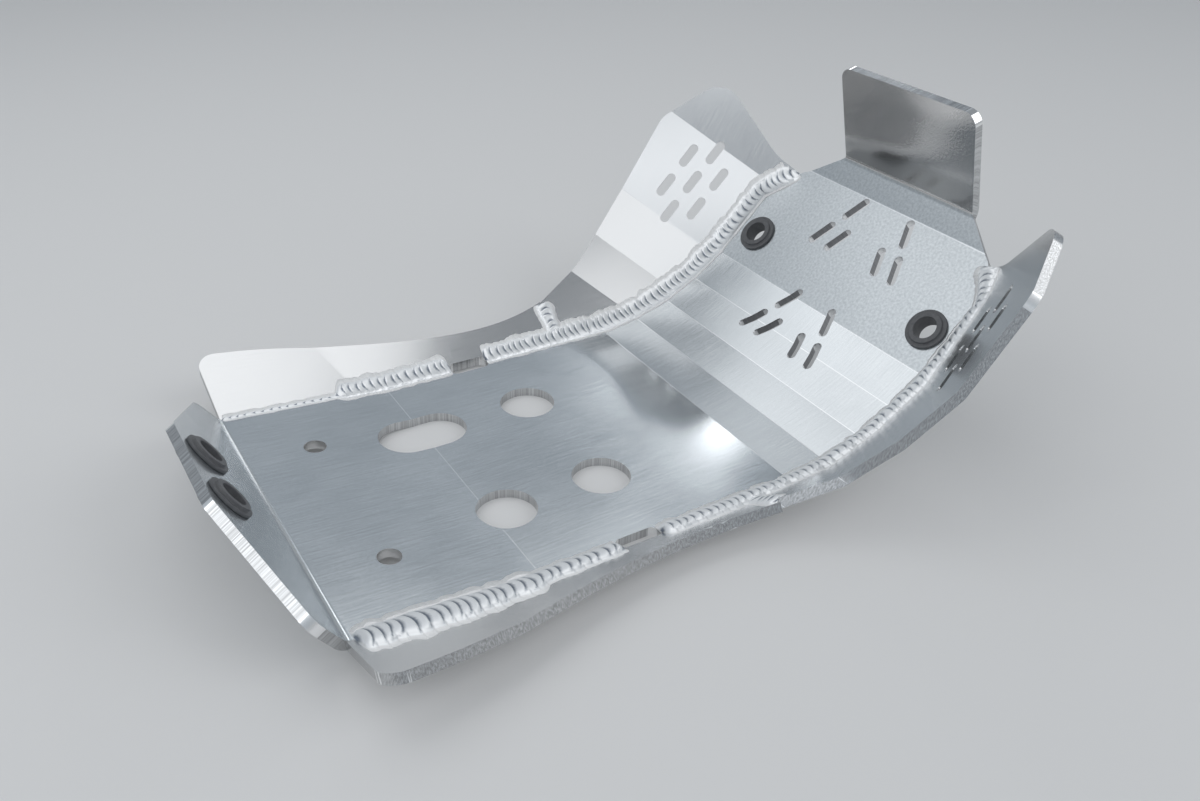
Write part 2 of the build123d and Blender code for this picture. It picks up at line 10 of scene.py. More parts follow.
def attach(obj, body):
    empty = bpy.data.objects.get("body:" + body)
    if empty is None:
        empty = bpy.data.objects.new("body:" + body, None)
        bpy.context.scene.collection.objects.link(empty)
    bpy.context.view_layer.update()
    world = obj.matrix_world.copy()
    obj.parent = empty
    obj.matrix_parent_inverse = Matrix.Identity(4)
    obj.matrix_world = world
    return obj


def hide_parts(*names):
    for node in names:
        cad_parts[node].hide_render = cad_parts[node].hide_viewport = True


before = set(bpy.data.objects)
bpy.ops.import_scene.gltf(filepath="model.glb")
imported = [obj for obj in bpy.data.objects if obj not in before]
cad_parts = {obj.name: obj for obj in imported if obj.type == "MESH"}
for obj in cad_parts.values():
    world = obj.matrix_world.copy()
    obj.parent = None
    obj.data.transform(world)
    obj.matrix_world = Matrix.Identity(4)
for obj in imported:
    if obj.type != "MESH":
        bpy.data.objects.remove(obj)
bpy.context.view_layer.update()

# Looks of a folded and welded aluminium skid plate: brushed sheet, rippled weld beads with
# etched borders, and rubber grommets. X points to the motorcycle's front, Y to its left, Z up.

MM = 0.001
LEFT = 1
RIGHT = -1
SIDES = ((LEFT, "left"), (RIGHT, "right"))

# Sizes of the sheet, the same as the CAD model's, in metres and degrees
SHEET = 4.8 * MM
HALF_WIDTH = 88.0 * MM
REAR_FLAT = 87.5 * MM
BELLY_FLAT = 139.0 * MM
STEP_FLAT = 23.0 * MM
STEP_COUNT = 4
CHIN_FLAT = 70.5 * MM
STRIP_FLAT = 15.5 * MM
TAB_FLAT = 57.0 * MM
FLANGE_FLAT = 51.0 * MM
REAR_FOLD = 4.2
FLANGE_FOLD = 51.0
STEP_FOLD = 9.0
STRIP_FOLD = 14.0
TAB_FOLD = 46.6
NECK_START = 45.0 * MM
NECK_RUN = Vector((21.0, -15.0)) * MM
NOTCH_FROM_FOLD = 39.0 * MM
NOTCH_LENGTH = 22.0 * MM
WING_SWEEP = 38.7
WING_RISE = 28.0
WING_JOINT = 40.0 * MM
JOINT_LEAN = radians(34.7)


def step_along(corner, angle, length):
    """Point reached from an (x, z) corner by going length at an angle above +X."""
    return (corner[0] + length * cos(radians(angle)), corner[1] + length * sin(radians(angle)))


def slope_run(angle):
    """Unit vector at an angle above +X."""
    return Vector((cos(radians(angle)), 0, sin(radians(angle))))


# Flats of the plate from the flange to the tab: where each starts, its slope and its length
belly_front = (BELLY_FLAT / 2, SHEET)
belly_rear = (-BELLY_FLAT / 2, SHEET)
rear_corner = step_along(belly_rear, 180 - REAR_FOLD, REAR_FLAT)
flange_tip = step_along(rear_corner, 180 - REAR_FOLD - FLANGE_FOLD, FLANGE_FLAT)
flat_runs = [(flange_tip, -REAR_FOLD - FLANGE_FOLD, FLANGE_FLAT),
             (rear_corner, -REAR_FOLD, REAR_FLAT),
             (belly_rear, 0.0, BELLY_FLAT)]
chin_angle = (STEP_COUNT + 1) * STEP_FOLD
front_flats = [(step * STEP_FOLD, STEP_FLAT) for step in range(1, STEP_COUNT + 1)]
front_flats += [(chin_angle, CHIN_FLAT), (chin_angle + STRIP_FOLD, STRIP_FLAT),
                (chin_angle + STRIP_FOLD + TAB_FOLD, TAB_FLAT)]
corner = belly_front
for angle, length in front_flats:
    flat_runs.append((corner, angle, length))
    corner = step_along(corner, angle, length)

# Where the same flats start on the flat pattern, measured forward from the belly's front fold
rear_start = -BELLY_FLAT - REAR_FLAT
chin_start = STEP_COUNT * STEP_FLAT
strip_start = chin_start + CHIN_FLAT
tab_start = strip_start + STRIP_FLAT
sheet_starts = [rear_start - FLANGE_FLAT, rear_start, -BELLY_FLAT]
sheet_starts += [step * STEP_FLAT for step in range(STEP_COUNT + 1)]
sheet_starts += [strip_start, tab_start]
wing_run = Vector((-sin(radians(WING_SWEEP)) * cos(radians(WING_RISE)),
                   cos(radians(WING_SWEEP)) * cos(radians(WING_RISE)), sin(radians(WING_RISE))))


def sheet_place(distance):
    """(x, z) and slope of the plate's inner face at a distance along the flat pattern."""
    index = max(i for i, start in enumerate(sheet_starts) if start <= distance or i == 0)
    start, angle, _ = flat_runs[index]
    return step_along(start, angle, distance - sheet_starts[index]), angle


def developed(x, z):
    """Distance along the flat pattern of the plate's point nearest to (x, z)."""
    best = None
    for (start, angle, length), base in zip(flat_runs, sheet_starts):
        dx = x - start[0]
        dz = z - start[1]
        along = min(max(dx * cos(radians(angle)) + dz * sin(radians(angle)), 0.0), length)
        foot = step_along(start, angle, along)
        gap = (foot[0] - x) ** 2 + (foot[1] - z) ** 2
        if best is None or gap < best[0]:
            best = (gap, base + along)
    return best[1]


# Materials: ramp stops are (noise value, grey or (r, g, b)), and a grey may be a roughness
PLATE_COLOURS = [(0.38, (0.57, 0.60, 0.62)), (0.62, (0.70, 0.73, 0.75))]
PLATE_ROUGHNESS = [(0.35, 0.15), (0.65, 0.23)]
PLATE_GRAIN = (40, 1000, 1)
CHIN_COLOURS = [(0.35, (0.47, 0.50, 0.52)), (0.65, (0.60, 0.63, 0.65))]
CHIN_ROUGHER = 0.12
CHIN_BUMP = 0.2 * MM
TAB_COLOUR = (0.46, 0.455, 0.45)
TAB_SMOOTHER = 0.20
TAB_WAVES = (1.8, 0.6, 1)
TAB_WAVE_HEIGHT = 1.0 * MM
# Painted highlight: near-white lines along the folds, standing in for the bends catching light
FOLD_HIGHLIGHT_COLOUR = (0.93, 0.94, 0.95)
FOLD_HIGHLIGHT_SHARE = 0.7
FOLD_HIGHLIGHT_HALF = 0.45 * MM
POLISH_REACH = 40.0 * MM
POLISH_SMOOTHER = 0.05
SLOTS_START = 30.0 * MM
SLOTS_HALF = 66.0 * MM
# Painted shade: near-black colour on the cut faces inside the slot openings
SLOT_SHADE_COLOUR = (0.20, 0.20, 0.21)
SLOT_SHADE_SHARE = 0.7
CUT_COLOURS = [(0.38, (0.42, 0.425, 0.43)), (0.62, (0.68, 0.69, 0.70))]
# Painted highlight: near-white colour on the narrow softened edges
EDGE_HIGHLIGHT_COLOUR = (0.95, 0.955, 0.96)
WING_COLOURS = [(0.35, (0.73, 0.735, 0.74)), (0.65, (0.81, 0.815, 0.82))]
WING_ROUGHNESS = [(0.35, 0.18), (0.65, 0.26)]
WING_GRAIN = (60, 900, 1)
GRAIN_SHARE = 0.45
CLOUD_SHARE = 0.4
SPECKLE_SHARE = 0.15
BRUSH_STRENGTH = 0.05
BRUSH_BUMP = 0.1 * MM
# Weld colour: near-white metal, going dark bluish as painted shade in the valleys between ripples
WELD_AND_VALLEY_SHADE_COLOURS = [(0.20, (0.94, 0.95, 0.96)), (0.50, (0.20, 0.23, 0.28))]
WELD_ROUGHNESS = [(0.3, 0.28), (0.7, 0.42)]
WELD_METALLIC = 0.55
WELD_SPECKLE = 0.25
WELD_BUMP = 0.2 * MM
FINE_STRENGTH = 0.25
FROST_COLOURS = [(0.3, 0.82), (0.7, 0.95)]
FROST_METALLIC = 0.1
FROST_ROUGHNESS = 0.6
RUBBER_COLOURS = [(0.3, (0.080, 0.082, 0.088)), (0.7, (0.120, 0.122, 0.128))]
RUBBER_ROUGHNESS = [(0.3, 0.42), (0.7, 0.55)]
FLOOR_COLOUR = (0.66, 0.66, 0.66)
FLOOR_ROUGHNESS = 0.7
FLOOR_GLOW = 0.06
WHITE = (1.0, 1.0, 1.0)

# Places of the colour sockets of a Mix node, which has sockets for each kind of data
MIX_FACTOR = 0
MIX_FIRST = 6
MIX_SECOND = 7
MIX_RESULT = 2


class Graph:
    """Node tree of a material or a world, with a short call for each kind of node."""

    def __init__(self, tree):
        self.nodes = tree.nodes
        self.links = tree.links

    def feed(self, value, socket):
        """Gives an input a number, a colour (r, g, b) or another node's output."""
        if isinstance(value, (int, float)):
            socket.default_value = value
        elif isinstance(value, tuple):
            socket.default_value = (*value, 1.0)
        else:
            self.links.new(value, socket)

    def attribute(self, name):
        """Value that the mesh carries under a name."""
        node = self.nodes.new("ShaderNodeAttribute")
        node.attribute_name = name
        return node.outputs["Fac"]

    def object_place(self):
        """Coordinates of the object."""
        return self.nodes.new("ShaderNodeTexCoord").outputs["Object"]

    def flat_place(self):
        """Coordinates of the flat pattern: (vector, distance along it, distance across it)."""
        uv = self.nodes.new("ShaderNodeUVMap")
        uv.uv_map = "flat"
        split = self.nodes.new("ShaderNodeSeparateXYZ")
        self.feed(uv.outputs["UV"], split.inputs[0])
        return uv.outputs["UV"], split.outputs["X"], split.outputs["Y"]

    def noise(self, source, scale, detail, roughness, stretch=(1, 1, 1)):
        """Noise texture over stretched coordinates."""
        mapping = self.nodes.new("ShaderNodeMapping")
        mapping.inputs["Scale"].default_value = stretch
        self.feed(source, mapping.inputs["Vector"])
        noise = self.nodes.new("ShaderNodeTexNoise")
        self.feed(scale, noise.inputs["Scale"])
        self.feed(detail, noise.inputs["Detail"])
        self.feed(roughness, noise.inputs["Roughness"])
        self.feed(mapping.outputs["Vector"], noise.inputs["Vector"])
        return noise.outputs["Fac"]

    def ramp(self, source, stops):
        """Colour ramp through (position, grey or (r, g, b)) stops."""
        ramp = self.nodes.new("ShaderNodeValToRGB")
        elements = ramp.color_ramp.elements
        for index, (position, colour) in enumerate(stops):
            element = elements[index] if index < 2 else elements.new(position)
            element.position = position
            rgb = colour if isinstance(colour, tuple) else (colour, colour, colour)
            element.color = (*rgb, 1.0)
        self.feed(source, ramp.inputs["Fac"])
        return ramp.outputs["Color"]

    def math(self, operation, first, second=0.0, clamp=False):
        """Math node over one or two values."""
        node = self.nodes.new("ShaderNodeMath")
        node.operation = operation
        node.use_clamp = clamp
        self.feed(first, node.inputs[0])
        self.feed(second, node.inputs[1])
        return node.outputs[0]

    def plus(self, first, second):
        """Sum of two values."""
        return self.math("ADD", first, second)

    def minus(self, first, second):
        """Difference of two values."""
        return self.math("SUBTRACT", first, second)

    def times(self, first, second):
        """Product of two values."""
        return self.math("MULTIPLY", first, second)

    def over(self, value, limit):
        """1 where a value is over a limit, else 0."""
        return self.math("GREATER_THAN", value, limit)

    def under(self, value, limit):
        """1 where a value is under a limit, else 0."""
        return self.math("LESS_THAN", value, limit)

    def mix(self, factor, first, second):
        """Mix of two colours."""
        node = self.nodes.new("ShaderNodeMix")
        node.data_type = "RGBA"
        self.feed(factor, node.inputs[MIX_FACTOR])
        self.feed(first, node.inputs[MIX_FIRST])
        self.feed(second, node.inputs[MIX_SECOND])
        return node.outputs[MIX_RESULT]

    def bump(self, height, strength, distance, normal=None):
        """Bump node, on top of another normal if one is given."""
        node = self.nodes.new("ShaderNodeBump")
        self.feed(strength, node.inputs["Strength"])
        self.feed(distance, node.inputs["Distance"])
        self.feed(height, node.inputs["Height"])
        if normal is not None:
            self.feed(normal, node.inputs["Normal"])
        return node.outputs["Normal"]


def new_material(name, metallic=1.0):
    """Node material, as (material, its graph, its shader's inputs)."""
    material = bpy.data.materials.new(name)
    material.use_nodes = True
    inputs = material.node_tree.nodes["Principled BSDF"].inputs
    inputs["Metallic"].default_value = metallic
    return material, Graph(material.node_tree), inputs


def near_line(graph, value, place, half):
    """1 on a line of the flat pattern, falling to 0 at half its width away."""
    gap = graph.math("ABSOLUTE", graph.minus(value, place))
    return graph.math("SUBTRACT", 1.0, graph.math("DIVIDE", gap, half), clamp=True)


def brushed(graph, flat, stretch):
    """Grain, clouds and speckle of brushed sheet, mixed to one value around 0.5."""
    grain = graph.noise(flat, scale=1.0, detail=6.0, roughness=0.7, stretch=stretch)
    clouds = graph.noise(flat, scale=16.0, detail=3.0, roughness=0.5)
    speckle = graph.noise(flat, scale=600.0, detail=2.0, roughness=0.6)
    mixed = graph.plus(graph.times(grain, GRAIN_SHARE), graph.times(clouds, CLOUD_SHARE))
    return graph.plus(mixed, graph.times(speckle, SPECKLE_SHARE))


def cut_face(graph, flat, colour, dark=None):
    """Colour of a sheet: striated cut faces, and softened edges painted as highlights.

    dark, where given, says how far the cut faces go over to the slot walls' painted shade.
    """
    lines = graph.noise(flat, scale=1300.0, detail=3.0, roughness=0.7)
    striped = graph.ramp(lines, CUT_COLOURS)
    # Painted shade: cut faces go over to a near-black colour where dark says
    if dark is not None:
        striped = graph.mix(dark, striped, SLOT_SHADE_COLOUR)
    colour = graph.mix(graph.attribute("wall"), colour, striped)
    # Painted highlight: the softened edges are painted near-white
    return graph.mix(graph.attribute("edge"), colour, EDGE_HIGHLIGHT_COLOUR)


def plate_material():
    """Brushed sheet: painted fold highlights, polish before the front fold, matt chin, shiny tab.
    """
    material, graph, inputs = new_material("plate_metal")
    flat, along, across = graph.flat_place()
    mixed = brushed(graph, flat, PLATE_GRAIN)
    chin = graph.over(along, chin_start)
    tab = graph.over(along, tab_start)
    peel = graph.noise(flat, scale=650.0, detail=3.0, roughness=0.6)
    colour = graph.mix(chin, graph.ramp(mixed, PLATE_COLOURS), graph.ramp(peel, CHIN_COLOURS))
    colour = graph.mix(tab, colour, TAB_COLOUR)
    # Painted highlight: the folds are painted near-white lines, in place of the bends' own
    # highlight
    lines = near_line(graph, along, sheet_starts[1], FOLD_HIGHLIGHT_HALF)
    for place in sheet_starts[2:]:
        lines = graph.math("MAXIMUM", lines, near_line(graph, along, place, FOLD_HIGHLIGHT_HALF))
    colour = graph.mix(graph.times(lines, FOLD_HIGHLIGHT_SHARE), colour, FOLD_HIGHLIGHT_COLOUR)
    # Painted shade on the slot walls, over the slotted stretch of the plate
    inside = graph.under(graph.math("ABSOLUTE", across), SLOTS_HALF)
    slot_shade_mask = graph.times(graph.over(along, SLOTS_START), inside)
    slot_shade_mask = graph.times(slot_shade_mask, graph.under(along, strip_start))
    colour = cut_face(graph, flat, colour, graph.times(slot_shade_mask, SLOT_SHADE_SHARE))
    graph.feed(colour, inputs["Base Color"])
    rough = graph.plus(graph.ramp(mixed, PLATE_ROUGHNESS), graph.times(chin, CHIN_ROUGHER))
    rough = graph.minus(rough, graph.times(tab, TAB_SMOOTHER))
    polish = near_line(graph, along, 0.0, POLISH_REACH)
    polish = graph.times(polish, graph.under(along, 0.0))
    rough = graph.minus(rough, graph.times(polish, POLISH_SMOOTHER))
    graph.feed(rough, inputs["Roughness"])
    waves = graph.noise(flat, scale=24.0, detail=0.0, roughness=0.4, stretch=TAB_WAVES)
    waves = graph.times(graph.times(waves, tab), TAB_WAVE_HEIGHT)
    normal = graph.bump(waves, strength=1.0, distance=1.0)
    normal = graph.bump(graph.times(peel, chin), FINE_STRENGTH, CHIN_BUMP, normal)
    graph.feed(graph.bump(mixed, BRUSH_STRENGTH, BRUSH_BUMP, normal), inputs["Normal"])
    return material


def wing_material():
    """Whiter brushed sheet."""
    material, graph, inputs = new_material("wing_metal")
    flat, _, _ = graph.flat_place()
    mixed = brushed(graph, flat, WING_GRAIN)
    graph.feed(cut_face(graph, flat, graph.ramp(mixed, WING_COLOURS)), inputs["Base Color"])
    graph.feed(graph.ramp(mixed, WING_ROUGHNESS), inputs["Roughness"])
    graph.feed(graph.bump(mixed, BRUSH_STRENGTH, BRUSH_BUMP), inputs["Normal"])
    return material


def weld_material():
    """Bright weld metal, with painted shade in the valleys between ripples."""
    material, graph, inputs = new_material("weld_metal", WELD_METALLIC)
    fine = graph.noise(graph.object_place(), scale=800.0, detail=4.0, roughness=0.6)
    # Painted shade: the valley value darkens the weld between ripples
    depth = graph.plus(graph.attribute("valley"), graph.times(fine, WELD_SPECKLE))
    graph.feed(graph.ramp(depth, WELD_AND_VALLEY_SHADE_COLOURS), inputs["Base Color"])
    graph.feed(graph.ramp(fine, WELD_ROUGHNESS), inputs["Roughness"])
    graph.feed(graph.bump(fine, FINE_STRENGTH, WELD_BUMP), inputs["Normal"])
    return material


def etched_material():
    """Frosted white border that welding leaves beside a bead."""
    material, graph, inputs = new_material("etched_border", FROST_METALLIC)
    fine = graph.noise(graph.object_place(), scale=1200.0, detail=4.0, roughness=0.7)
    graph.feed(graph.ramp(fine, FROST_COLOURS), inputs["Base Color"])
    graph.feed(FROST_ROUGHNESS, inputs["Roughness"])
    return material


def rubber_material():
    """Moulded black-brown rubber with a soft sheen."""
    material, graph, inputs = new_material("grommet_rubber", metallic=0.0)
    fine = graph.noise(graph.object_place(), scale=500.0, detail=4.0, roughness=0.6)
    graph.feed(graph.ramp(fine, RUBBER_COLOURS), inputs["Base Color"])
    graph.feed(graph.ramp(fine, RUBBER_ROUGHNESS), inputs["Roughness"])
    return material


def floor_material():
    """Pale matt floor."""
    material, graph, inputs = new_material("pale_floor", metallic=0.0)
    graph.feed(FLOOR_COLOUR, inputs["Base Color"])
    graph.feed(FLOOR_ROUGHNESS, inputs["Roughness"])
    # A little paler where it is seen, straight or in the metal, without more light on the object
    path = graph.nodes.new("ShaderNodeLightPath")
    seen = graph.plus(path.outputs["Is Camera Ray"], path.outputs["Is Glossy Ray"])
    seen = graph.math("ADD", seen, path.outputs["Is Transmission Ray"], clamp=True)
    graph.feed(WHITE, inputs["Emission Color"])
    graph.feed(graph.times(seen, FLOOR_GLOW), inputs["Emission Strength"])
    return material


plate_metal = plate_material()
wing_metal = wing_material()
weld_metal = weld_material()
etched = etched_material()
rubber = rubber_material()


# Pieces of the CAD model with rounder holes, softened edges and a flat pattern for the grain
EDGE_SOFTNESS = 0.35 * MM
EDGE_CUTS = 2
AREA_WEIGHT = 100
SAME_PLACE = 0.002 * MM
SAME_PLANE = radians(0.5)
SHARP = radians(28)
ARC_LEAST = radians(3)
ARC_MOST = radians(32)
ARC_CUTS = 3
ARC_LONGER = 2.5
KEY_GRID = 0.001 * MM
KEY_SHIFTS = [(dx, dy, dz) for dx in (0, -1, 1) for dy in (0, -1, 1) for dz in (0, -1, 1)]


def new_object(name, data):
    """Object of the scene with a mesh or a light."""
    obj = bpy.data.objects.new(name, data)
    bpy.context.scene.collection.objects.link(obj)
    return obj


def finish_piece(obj, name, nodes):
    """Puts a finished piece in place of CAD nodes."""
    obj.name = name
    obj.data.name = name
    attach(obj, "root")
    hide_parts(*nodes)
    return obj


def smooth_shading(data):
    """Shades all faces of a mesh smoothly."""
    for polygon in data.polygons:
        polygon.use_smooth = True


def is_sharp(edge):
    """Whether two faces meet at an edge with a real corner."""
    return len(edge.link_faces) == 2 and edge.calc_face_angle(0.0) > SHARP


def turn(edge, vertex):
    """The straightest sharp edge on from an edge at a vertex: (angle, its far point, length)."""
    run = (vertex.co - edge.other_vert(vertex).co).normalized()
    best = None
    for other in vertex.link_edges:
        if other is edge or not is_sharp(other):
            continue
        angle = run.angle((other.other_vert(vertex).co - vertex.co).normalized(), 0.0)
        if angle < ARC_MOST and (best is None or angle < best[0]):
            best = (angle, other.other_vert(vertex).co.copy(), other.calc_length())
    return best


def tangent(edge, vertex):
    """Direction of the smooth outline at a vertex of an edge, seen from that edge, and its turn."""
    away = (vertex.co - edge.other_vert(vertex).co).normalized()
    following = turn(edge, vertex)
    if following is None:
        return away, 0.0
    angle, point, length = following
    ahead = (point - vertex.co).normalized()
    if length > ARC_LONGER * edge.calc_length():
        return ahead, angle
    if edge.calc_length() > ARC_LONGER * length:
        return away, 0.0
    return (away + ahead).normalized(), angle


def grid_key(point):
    """Whole numbers by which a point is found again."""
    return tuple(round(value / KEY_GRID) for value in point)


def arc_point(first, second, leave, arrive, u):
    """Point at a share u of the curve between two points that leaves and arrives as given."""
    size = (second - first).length
    return (first * (2 * u ** 3 - 3 * u ** 2 + 1) + leave * size * (u ** 3 - 2 * u ** 2 + u)
            + second * (3 * u ** 2 - 2 * u ** 3) + arrive * size * (u ** 3 - u ** 2))


def round_arcs(mesh):
    """Adds points to the arcs of sharp outlines, so that holes and corners look round."""
    edges = []
    arcs = {}
    for edge in mesh.edges:
        if not is_sharp(edge):
            continue
        first, second = edge.verts
        start_run, start_turn = tangent(edge, first)
        end_run, end_turn = tangent(edge, second)
        if max(start_turn, end_turn) <= ARC_LEAST:
            continue
        edges.append(edge)
        ends = (first.co.copy(), second.co.copy())
        for cut in range(1, ARC_CUTS + 1):
            share = cut / (ARC_CUTS + 1)
            arcs[grid_key(ends[0].lerp(ends[1], share))] = (*ends, -start_run, end_run, share)
    before = set(mesh.verts)
    bmesh.ops.subdivide_edges(mesh, edges=edges, cuts=ARC_CUTS, use_grid_fill=False)
    for vertex in mesh.verts:
        if vertex in before:
            continue
        key = grid_key(vertex.co)
        near_keys = (tuple(map(sum, zip(key, shift))) for shift in KEY_SHIFTS)
        arc = next((arcs[near] for near in near_keys if near in arcs), None)
        if arc is not None:
            vertex.co = arc_point(*arc)
            vertex.co.z = max(vertex.co.z, 0.0)


def apply_modifiers(obj):
    """Bakes an object's modifiers into its mesh."""
    bpy.context.view_layer.update()
    evaluated = obj.evaluated_get(bpy.context.evaluated_depsgraph_get())
    mesh = bpy.data.meshes.new_from_object(evaluated)
    obj.modifiers.clear()
    obj.data = mesh


def soft_copy(nodes, name, material, place):
    """Copy of CAD nodes, fused, with softened edges.

    place(position) gives a position's point on the flat pattern.
    """
    mesh = bmesh.new()
    for node in nodes:
        mesh.from_mesh(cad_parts[node].data)
    bmesh.ops.remove_doubles(mesh, verts=mesh.verts, dist=SAME_PLACE)
    if len(nodes) > 1:
        drop_inner_faces(mesh)
    bmesh.ops.dissolve_limit(mesh, angle_limit=SAME_PLANE, verts=mesh.verts, edges=mesh.edges)
    round_arcs(mesh)
    data = bpy.data.meshes.new(name)
    mesh.to_mesh(data)
    mesh.free()
    obj = new_object(name, data)
    data.materials.append(material)
    bevel = obj.modifiers.new("edges", "BEVEL")
    bevel.width = EDGE_SOFTNESS
    bevel.segments = EDGE_CUTS
    bevel.limit_method = "ANGLE"
    bevel.angle_limit = SHARP
    bevel.use_clamp_overlap = True
    smooth_shading(data)
    weights = obj.modifiers.new("normals", "WEIGHTED_NORMAL")
    weights.keep_sharp = True
    weights.weight = AREA_WEIGHT
    apply_modifiers(obj)
    mark_walls(obj.data)
    layer = obj.data.uv_layers.new(name="flat")
    for loop in obj.data.loops:
        layer.data[loop.index].uv = place(obj.data.vertices[loop.vertex_index].co)
    return finish_piece(obj, name, nodes)


RAY_START = 0.01 * MM
SHEET_TOLERANCE = 0.05
PARALLEL = 0.99
EDGE_SHARE = 0.17 * MM


def mark_walls(data):
    """Marks the faces cut through the sheet and, apart from them, its softened edges.

    A cut face has no parallel face one thickness behind it, and a softened edge is a narrow one.
    """
    tree = BVHTree.FromPolygons([vertex.co.copy() for vertex in data.vertices],
                                [list(polygon.vertices) for polygon in data.polygons])
    walls = [1.0] * len(data.polygons)
    data.calc_loop_triangles()
    for triangle in data.loop_triangles:
        inward = -triangle.normal
        start = triangle.center + inward * RAY_START
        _, normal, _, depth = tree.ray_cast(start, inward, 2 * SHEET)
        if depth is None or abs(depth - SHEET) >= SHEET_TOLERANCE * SHEET:
            continue
        if abs(normal.dot(inward)) > PARALLEL:
            walls[triangle.polygon_index] = 0.0
    # The narrow softened edges marked here are painted near-white as highlights
    edges = []
    for wall, polygon in zip(walls, data.polygons):
        points = [data.vertices[vertex].co for vertex in polygon.vertices]
        outline = sum((point - after).length
                      for point, after in zip(points, points[1:] + points[:1]))
        edges.append(1.0 if wall and polygon.area < EDGE_SHARE * outline else 0.0)
    for name, values in (("wall", walls), ("edge", edges)):
        attribute = data.attributes.new(name, "FLOAT", "FACE")
        attribute.data.foreach_set("value", values)


# Planes at which the CAD model writes the one folded sheet as three solids
SPLITS = [(Vector((belly_front[0], 0, 0)), Vector((1, 0, 0))),
          (Vector((rear_corner[0], 0, rear_corner[1])), slope_run(-REAR_FOLD - FLANGE_FOLD / 2))]
PLANE_TOLERANCE = 0.01 * MM


def drop_inner_faces(mesh):
    """Takes out the faces where two solids of the folded sheet meet."""
    inner = [face for face in mesh.faces for place, normal in SPLITS
             if all(abs((vertex.co - place).dot(normal)) < PLANE_TOLERANCE
                    for vertex in face.verts)]
    bmesh.ops.delete(mesh, geom=inner, context="FACES")


def plate_pattern(point):
    """Point of the plate's flat pattern."""
    return (developed(point.x, point.z), point.y)


def wing_pattern(point):
    """Point of a front wing's flat pattern, its grain running up the folds."""
    side = LEFT if point.y > 0 else RIGHT
    along = (abs(point.y) - HALF_WIDTH) / wing_run.y
    foot = Vector((point.x, side * point.y, point.z)) - wing_run * along
    return (foot.length, along)


def rear_pattern(point):
    """Point of a rear wing's flat pattern, and of a grommet."""
    return (point.x, abs(point.y))


PLATE_NODES = ["rear_flange", "floor_plate", "front_plate"]
soft_copy(PLATE_NODES, "plate_sheet", plate_metal, plate_pattern)
for _, side_name in SIDES:
    for part, pattern in (("front", wing_pattern), ("rear", rear_pattern)):
        soft_copy([f"{side_name}_{part}_wing"], f"{side_name}_{part}_sheet", wing_metal,
                  pattern)
soft_copy(["rubber_grommets"], "grommet_rings", rubber, rear_pattern)


# Weld beads: swept along an edge in rings of points, SAMPLES rings a ripple
SAMPLES = 12
ACROSS = 20
LIFT = 0.05 * MM
BORDER_LIFT = 0.4
SINK = 0.25 * MM
ROOT = 1.6 * MM
DROP = 30 * MM
REACH_TRIES = 3
REACH_LEAST = 0.1
FRAME_SPREAD = 4 * MM
# Ripple section
RISE_SHARE = 0.22
RISE_POWER = 0.8
FALL_DEPTH = 0.72
FALL_POWER = 1.5
ARCH_POWER = 0.6
TIP_LEAST = 0.04
TIP_NARROWING = 0.5
WIDTH_RIPPLE = 0.08
# Scatter between ripples
PITCH_SCATTER = (0.78, 1.22)
HEIGHT_SCATTER = (0.82, 1.14)
WIDTH_SCATTER = (0.90, 1.09)
LEAN_SCATTER = (-0.22, 0.22)
ARC_SCATTER = (0.7, 1.3)
FROST_SCATTER = (0.7, 1.3)
METAL_INDEX = 0
BORDER_INDEX = 1


def surface_of(*nodes):
    """Search tree over CAD nodes, for placing beads on them."""
    points = []
    faces = []
    for node in nodes:
        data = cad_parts[node].data
        base = len(points)
        points += [vertex.co.copy() for vertex in data.vertices]
        faces += [[base + index for index in polygon.vertices] for polygon in data.polygons]
    return BVHTree.FromPolygons(points, faces)


def drop_on(tree, point, up):
    """Point of a surface straight below point, or nearest to it where nothing lies below."""
    hit = tree.ray_cast(point + up * DROP, -up, 2 * DROP)[0]
    return tree.find_nearest(point)[0] if hit is None else hit


def along_surface(tree, origin, direction, up, reach):
    """Point of a sloping surface at a straight distance from a corner."""
    ahead = reach
    for _ in range(REACH_TRIES):
        hit = drop_on(tree, origin + direction * ahead, up)
        ahead *= reach / max((hit - origin).length, REACH_LEAST * reach)
        ahead = min(ahead, reach)
    return drop_on(tree, origin + direction * ahead, up)


def edge_frame(distance, side):
    """Corner of the plate's edge at a developed distance: (origin, outward, up, forward)."""
    neck = distance - chin_start - NECK_START
    if neck > 0:
        run = NECK_RUN.normalized()
        (x, z), angle = sheet_place(chin_start + NECK_START + run.x * neck)
        along = slope_run(angle) * run.x + Vector((0, run.y, 0))
        origin = Vector((x, HALF_WIDTH + run.y * neck, z))
        up = Vector((-sin(radians(angle)), 0, cos(radians(angle))))
    else:
        (x, z), _ = sheet_place(distance)
        (x0, z0), _ = sheet_place(distance - FRAME_SPREAD)
        (x1, z1), _ = sheet_place(distance + FRAME_SPREAD)
        along = Vector((x1 - x0, 0, z1 - z0)).normalized()
        origin = Vector((x, HALF_WIDTH, z))
        up = Vector((-along.z, 0, along.x))
    outward = along.cross(up)
    if outward.y < 0:
        outward = -outward
    flip = Vector((1, side, 1))
    return origin * flip, outward * flip, up * flip, along * flip


def joint_frame(distance, side):
    """Place on the joint between two wings, the same way, at a distance up from their feet."""
    run = Vector((0, cos(JOINT_LEAN), sin(JOINT_LEAN)))
    up = Vector((0, -sin(JOINT_LEAN), cos(JOINT_LEAN)))
    flip = Vector((1, side, 1))
    origin = Vector((WING_JOINT, HALF_WIDTH, SHEET)) + run * distance
    return origin * flip, Vector((1, 0, 0)), up * flip, run * flip


